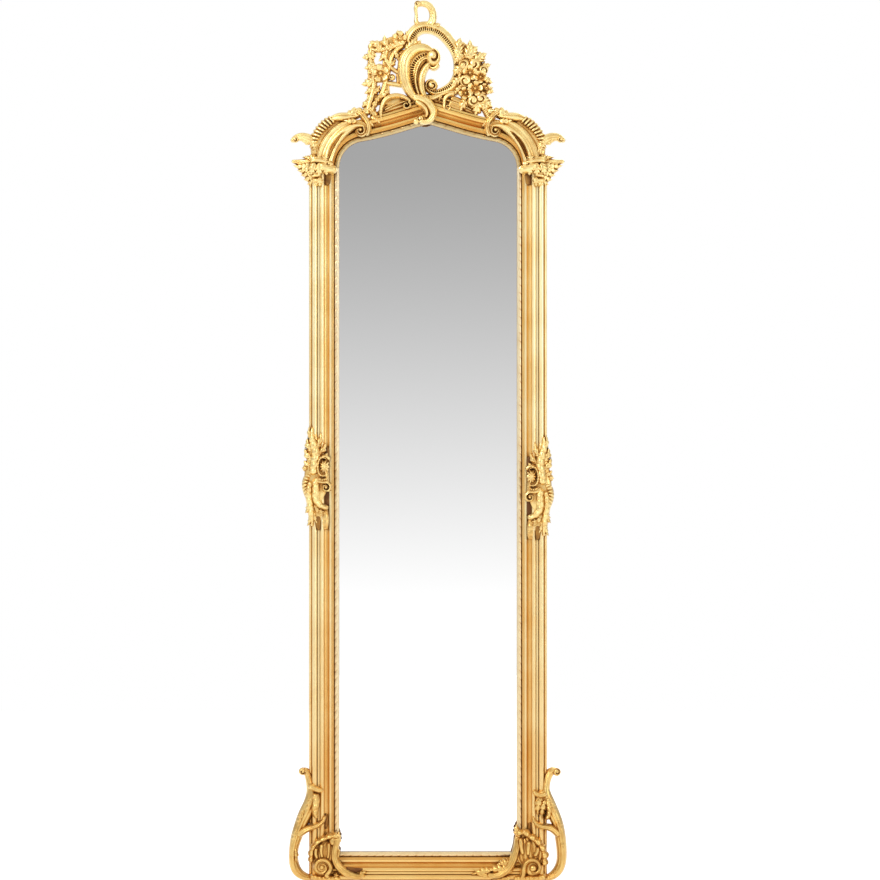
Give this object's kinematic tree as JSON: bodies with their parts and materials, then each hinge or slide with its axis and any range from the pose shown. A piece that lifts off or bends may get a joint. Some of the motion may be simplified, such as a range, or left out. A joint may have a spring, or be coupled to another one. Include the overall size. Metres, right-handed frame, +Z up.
{
  "type": "floor mirror",
  "caption": "Tall arched floor mirror in a gilded moulded frame with a pierced scroll crest, shoulder scrolls, side ornaments and open foot brackets; two swinging hanger rings behind.",
  "frame": {"origin": "middle of the foot rail's underside, on the floor", "axes": "+Z up, the glass faces -Y, +X to the viewer's right"},
  "size_m": [0.6276, 0.0695, 1.9862],
  "materials": {
    "gilt_moulding": "gold leaf over red-brown ground on a softwood moulding, toned in the hollows",
    "gilt_ornament": "carved ornament under gold leaf, rubbed on the high points and toned in the hollows",
    "silvered_glass": "clear float glass silvered on the back",
    "plywood": "thin unfinished plywood",
    "plated_steel": "zinc plated steel"
  },
  "bodies": {
    "frame": {"left_stile": "gilt_moulding", "right_stile": "gilt_moulding", "bottom_rail": "gilt_moulding", "arch_rail_left": "gilt_moulding", "arch_rail_right": "gilt_moulding", "sight_strip_left": "gilt_moulding", "sight_strip_right": "gilt_moulding", "sight_strip_bottom": "gilt_moulding", "sight_strip_arch_left": "gilt_moulding", "sight_strip_arch_right": "gilt_moulding", "crest_plinth": "gilt_ornament", "crest_outer_scroll": "gilt_ornament", "crest_acanthus_scroll": "gilt_ornament", "crest_finial": "gilt_ornament", "crest_base_scroll_left": "gilt_ornament", "crest_base_scroll_right": "gilt_ornament", "crest_spray": "gilt_ornament", "crest_bouquet": "gilt_ornament", "shoulder_scroll_left": "gilt_ornament", "shoulder_scroll_right": "gilt_ornament", "shoulder_shell_left": "gilt_ornament", "shoulder_shell_right": "gilt_ornament", "shoulder_leaf_left": "gilt_ornament", "shoulder_leaf_right": "gilt_ornament", "capital_left": "gilt_ornament", "capital_right": "gilt_ornament", "side_ornament_left": "gilt_ornament", "side_ornament_right": "gilt_ornament", "corner_shell_left": "gilt_ornament", "corner_shell_right": "gilt_ornament", "side_bracket_left": "gilt_ornament", "side_bracket_right": "gilt_ornament", "mirror_glass": "silvered_glass", "backing_board": "plywood", "backing_screws": "plated_steel", "hanger_screws": "plated_steel", "hanger_strap_left": "plated_steel", "hanger_strap_right": "plated_steel"},
    "left_ring": {"hanger_ring_left": "plated_steel"},
    "right_ring": {"hanger_ring_right": "plated_steel"}
  },
  "joints": [
    {"name": "left_ring_hinge", "type": "hinge", "parent": "frame", "child": "left_ring", "pos_m": [-0.24575, 0.026, 1.45], "axis": [1, 0, 0], "range_deg": [0, 180]},
    {"name": "right_ring_hinge", "type": "hinge", "parent": "frame", "child": "right_ring", "pos_m": [0.24575, 0.026, 1.45], "axis": [1, 0, 0], "range_deg": [0, 180]}
  ]
}
